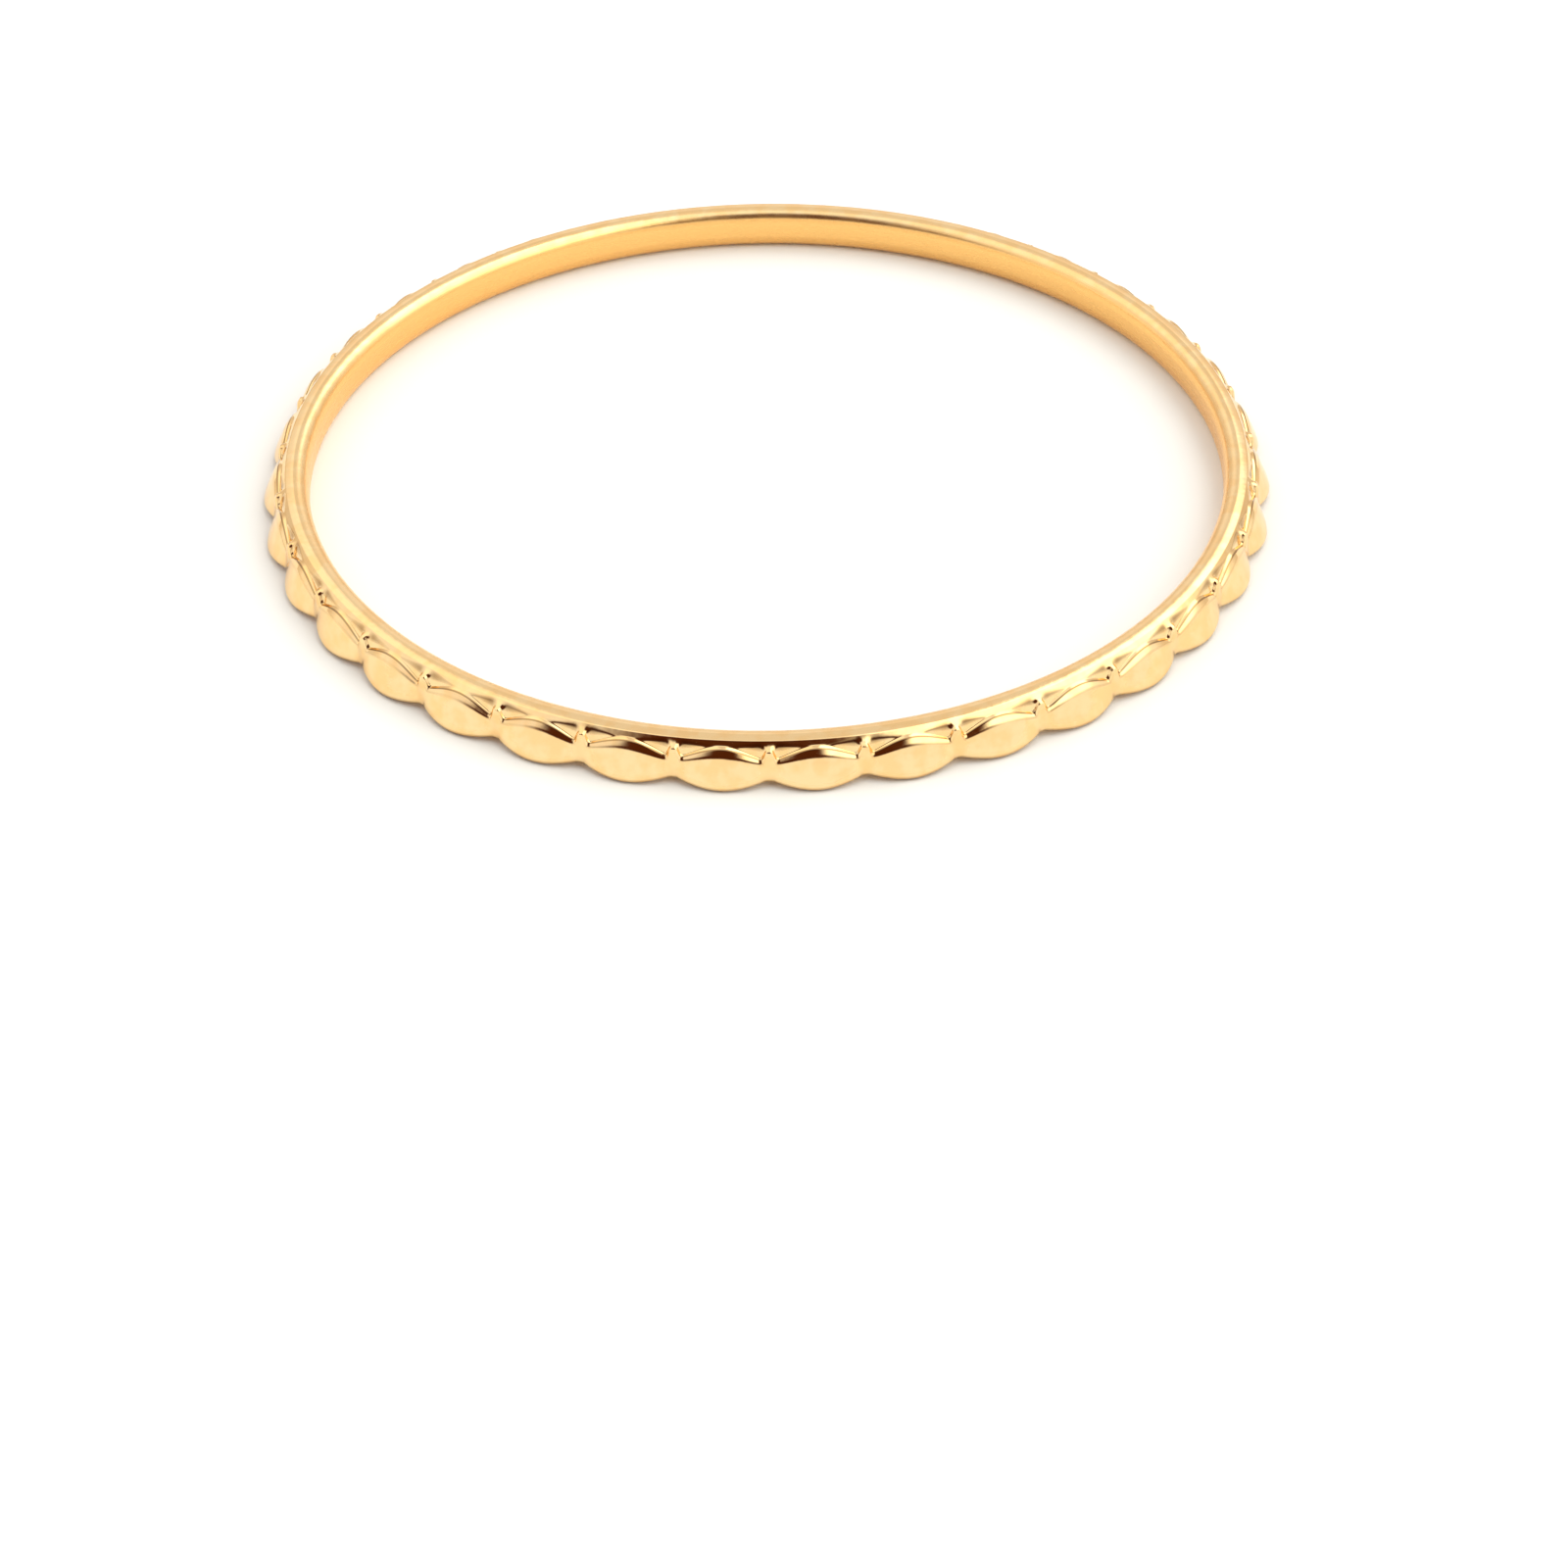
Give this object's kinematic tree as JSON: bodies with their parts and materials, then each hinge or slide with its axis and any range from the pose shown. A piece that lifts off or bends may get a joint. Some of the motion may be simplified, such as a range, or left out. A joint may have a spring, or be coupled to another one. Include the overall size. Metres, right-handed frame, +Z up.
{
  "type": "bangle",
  "caption": "Slim rigid bangle in polished gold-tone metal, with a smooth inner side and a row of marquise beads in relief round the outside.",
  "frame": {"origin": "middle of the circle that the bangle rests on when it lies on its side", "axes": "+Z up along the bangle's own axis, -Y towards the front of the ring, where two beads meet"},
  "size_m": [0.0664, 0.0665, 0.0029],
  "materials": {
    "gold": "polished gold plating"
  },
  "bodies": {
    "root": {"bangle": "gold"}
  },
  "joints": []
}
